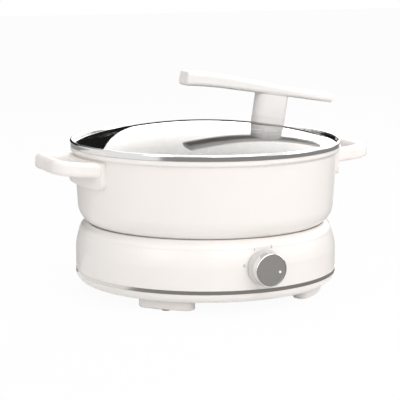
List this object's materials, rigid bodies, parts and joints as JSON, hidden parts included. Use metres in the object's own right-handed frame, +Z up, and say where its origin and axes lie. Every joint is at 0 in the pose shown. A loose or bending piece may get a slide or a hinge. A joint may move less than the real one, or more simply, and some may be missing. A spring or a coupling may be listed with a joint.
{
  "type": "electric hot pot",
  "caption": "Round electric hot pot: heated base with a front dial, lift-off two-handled pot and domed glass lid with a T-shaped handle.",
  "frame": {"origin": "on the pot's axis at the table, under the middle of the feet", "axes": "+Z up along the pot's axis, -Y towards the dial, +X and -X towards the pot's handles with the lid handle's post on the +X side"},
  "size_m": [0.3804, 0.3215, 0.2439],
  "materials": {
    "body_white": "satin",
    "pot_coating": "satin",
    "handle_white": "satin",
    "lid_handle_white": "satin",
    "lid_glass": "clear",
    "band_steel": "polished",
    "trim_metal": "brushed",
    "bezel_chrome": "polished",
    "face_metal": "spun",
    "skirt_grey": "satin",
    "dot_white": "satin",
    "foot_rubber": "matte",
    "seal_rubber": "matte",
    "plate_aluminium": "cast",
    "element_steel": "heat tinted",
    "shield_sheet": "sheet",
    "post_steel": "turned",
    "screw_steel": "plated",
    "rivet_metal": "satin",
    "sensor_metal": "satin",
    "spring_steel": "bright",
    "switch_case": "moulded",
    "inlet_case": "moulded",
    "pin_brass": "bright",
    "cutout_ceramic": "matte",
    "wire_sleeve": "matte",
    "wire_sleeve_blue": "matte",
    "wire_sleeve_earth": "matte"
  },
  "bodies": {
    "base": {"base_housing": "body_white", "trim_ring": "trim_metal", "base_bottom": "body_white", "cover_screws": "screw_steel", "standoff_screws": "screw_steel", "top_deck": "body_white", "heating_plate": "plate_aluminium", "heating_element": "element_steel", "plate_standoffs": "post_steel", "heat_shield": "shield_sheet", "thermal_cutout": "cutout_ceramic", "thermal_fuse": "cutout_ceramic", "sensor_guide": "shield_sheet", "sensor_spring": "spring_steel", "switch_body": "switch_case", "switch_nut": "post_steel", "power_inlet": "inlet_case", "inlet_pins": "pin_brass", "inlet_screws": "screw_steel", "wire_inlet_to_switch": "wire_sleeve", "wire_switch_to_element": "wire_sleeve", "wire_inlet_to_element": "wire_sleeve_blue", "wire_earth": "wire_sleeve_earth", "foot_back_right": "body_white", "foot_pad_back_right": "foot_rubber", "foot_back_left": "body_white", "foot_pad_back_left": "foot_rubber", "foot_front_left": "body_white", "foot_pad_front_left": "foot_rubber", "foot_front_right": "body_white", "foot_pad_front_right": "foot_rubber"},
    "pot": {"pot_body": "pot_coating", "pot_handle_right": "handle_white", "pot_handle_left": "handle_white", "pot_rivets_right": "rivet_metal", "pot_rivets_left": "rivet_metal"},
    "lid": {"lid_glass": "lid_glass", "lid_band": "band_steel", "lid_gasket": "seal_rubber", "lid_collar": "lid_handle_white", "lid_post": "lid_handle_white", "lid_bar": "lid_handle_white", "lid_under_gasket": "seal_rubber", "lid_washer": "rivet_metal", "lid_screw": "screw_steel"},
    "knob": {"knob_skirt": "skirt_grey", "knob_bezel": "bezel_chrome", "knob_face": "face_metal", "knob_dot": "dot_white", "switch_shaft": "post_steel"},
    "sensor": {"sensor_cap": "sensor_metal", "sensor_clip": "spring_steel"}
  },
  "joints": [
    {"name": "pot_lift", "type": "slide", "parent": "base", "child": "pot", "axis": [0, 0, 1], "range_m": [0, 0.12]},
    {"name": "lid_lift", "type": "slide", "parent": "pot", "child": "lid", "axis": [0, 0, 1], "range_m": [0, 0.12]},
    {"name": "knob_turn", "type": "hinge", "parent": "base", "child": "knob", "pos_m": [0, -0.1445, 0.0493], "axis": [0, -1, 0], "range_deg": [-30, 195]},
    {"name": "sensor_press", "type": "slide", "parent": "base", "child": "sensor", "axis": [0, 0, 1], "range_m": [-0.003, 0], "stiffness_N_per_m": 120, "springref_m": 0.006, "deforming": ["sensor_spring"]}
  ]
}
